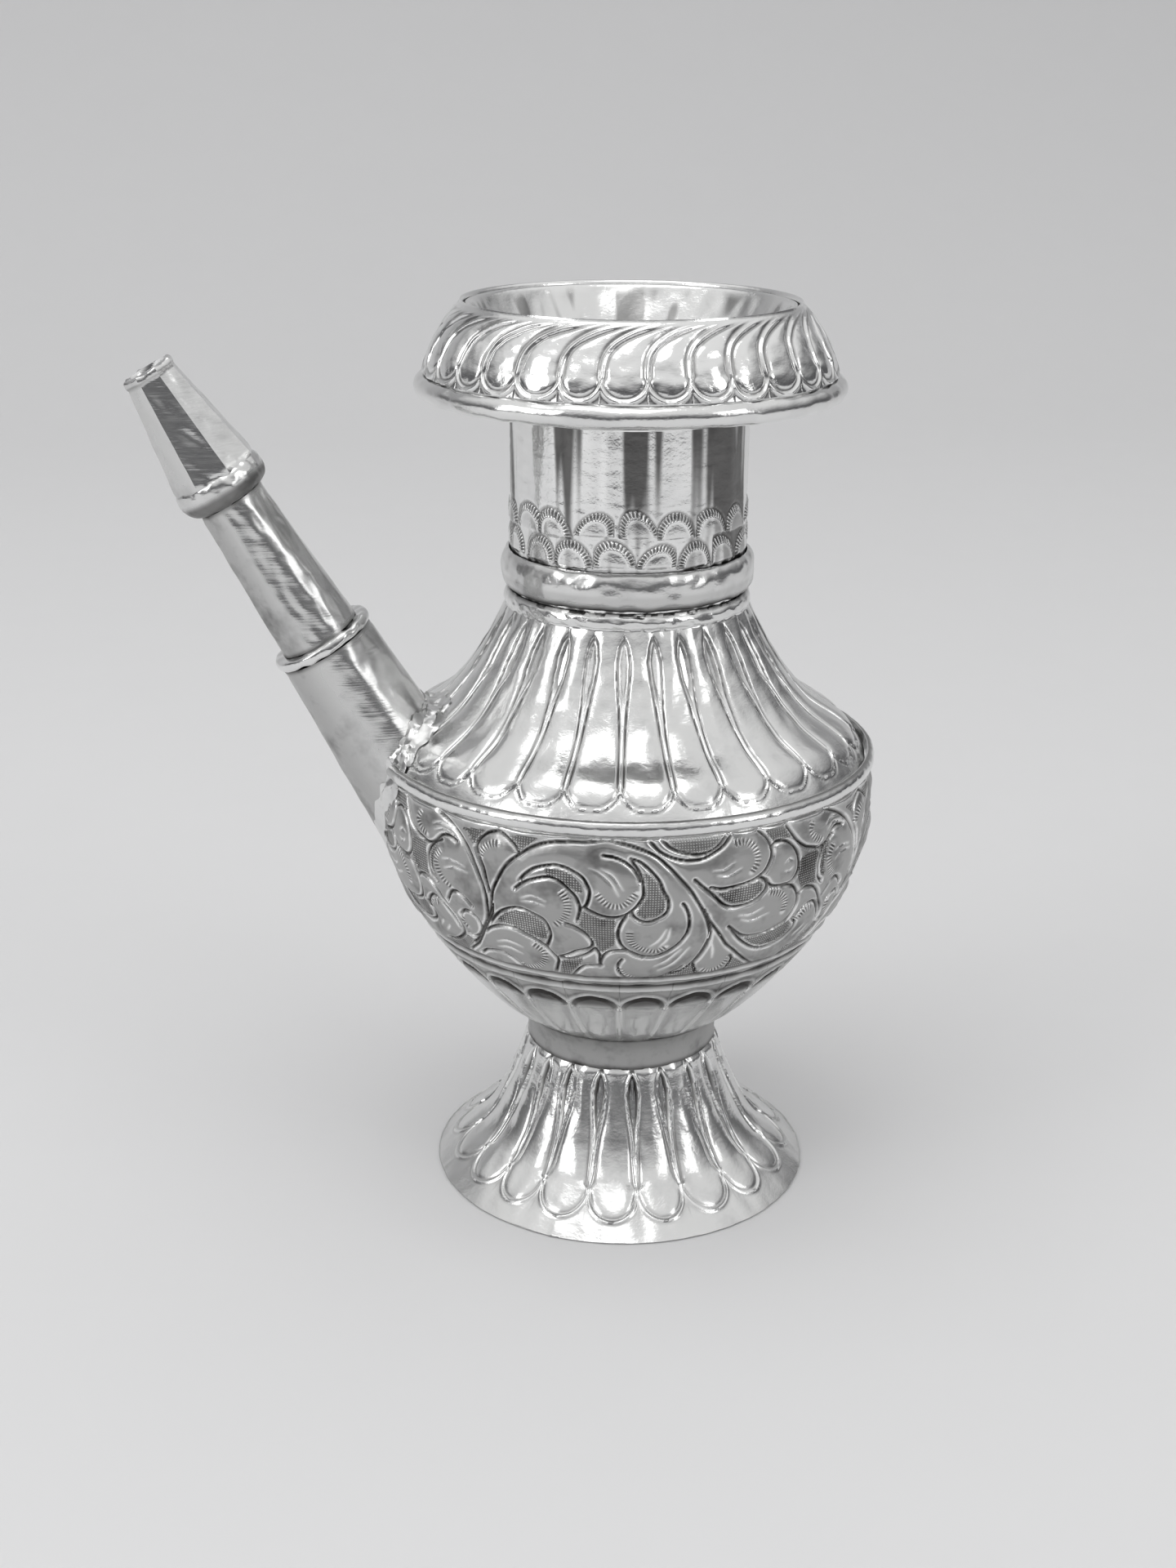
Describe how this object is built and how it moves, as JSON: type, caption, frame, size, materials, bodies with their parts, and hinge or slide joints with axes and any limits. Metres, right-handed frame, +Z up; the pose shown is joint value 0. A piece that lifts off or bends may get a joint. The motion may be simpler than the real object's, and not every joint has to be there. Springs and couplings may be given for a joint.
{
  "type": "ritual water jug",
  "caption": "Footed silver ritual water jug with chased scrolls and flutes, a drooping mushroom rim and a stepped straight spout.",
  "frame": {"origin": "on the surface the jug stands on, under the middle of its outline; the jug's own axis is 20.7 mm to the +X side", "axes": "+Z up along the jug's axis, the spout points along -X, the pictured front faces -Y"},
  "size_m": [0.1356, 0.0942, 0.17],
  "materials": {
    "polished_silver": "bright hand-planished silver",
    "worn_silver": "duller silver and solder"
  },
  "bodies": {
    "root": {"foot_flare": "polished_silver", "foot_collar": "worn_silver", "belly_bowl": "polished_silver", "belly_bead": "polished_silver", "shoulder": "polished_silver", "neck_tube": "polished_silver", "neck_step_ring": "polished_silver", "neck_bead": "polished_silver", "mouth_funnel": "polished_silver", "rim_flange": "polished_silver", "rim_bead": "polished_silver", "spout_root_tube": "polished_silver", "spout_solder_collar": "worn_silver", "spout_step_ring": "polished_silver", "spout_middle_tube": "polished_silver", "spout_bulb": "polished_silver", "spout_nozzle": "polished_silver"}
  },
  "joints": []
}
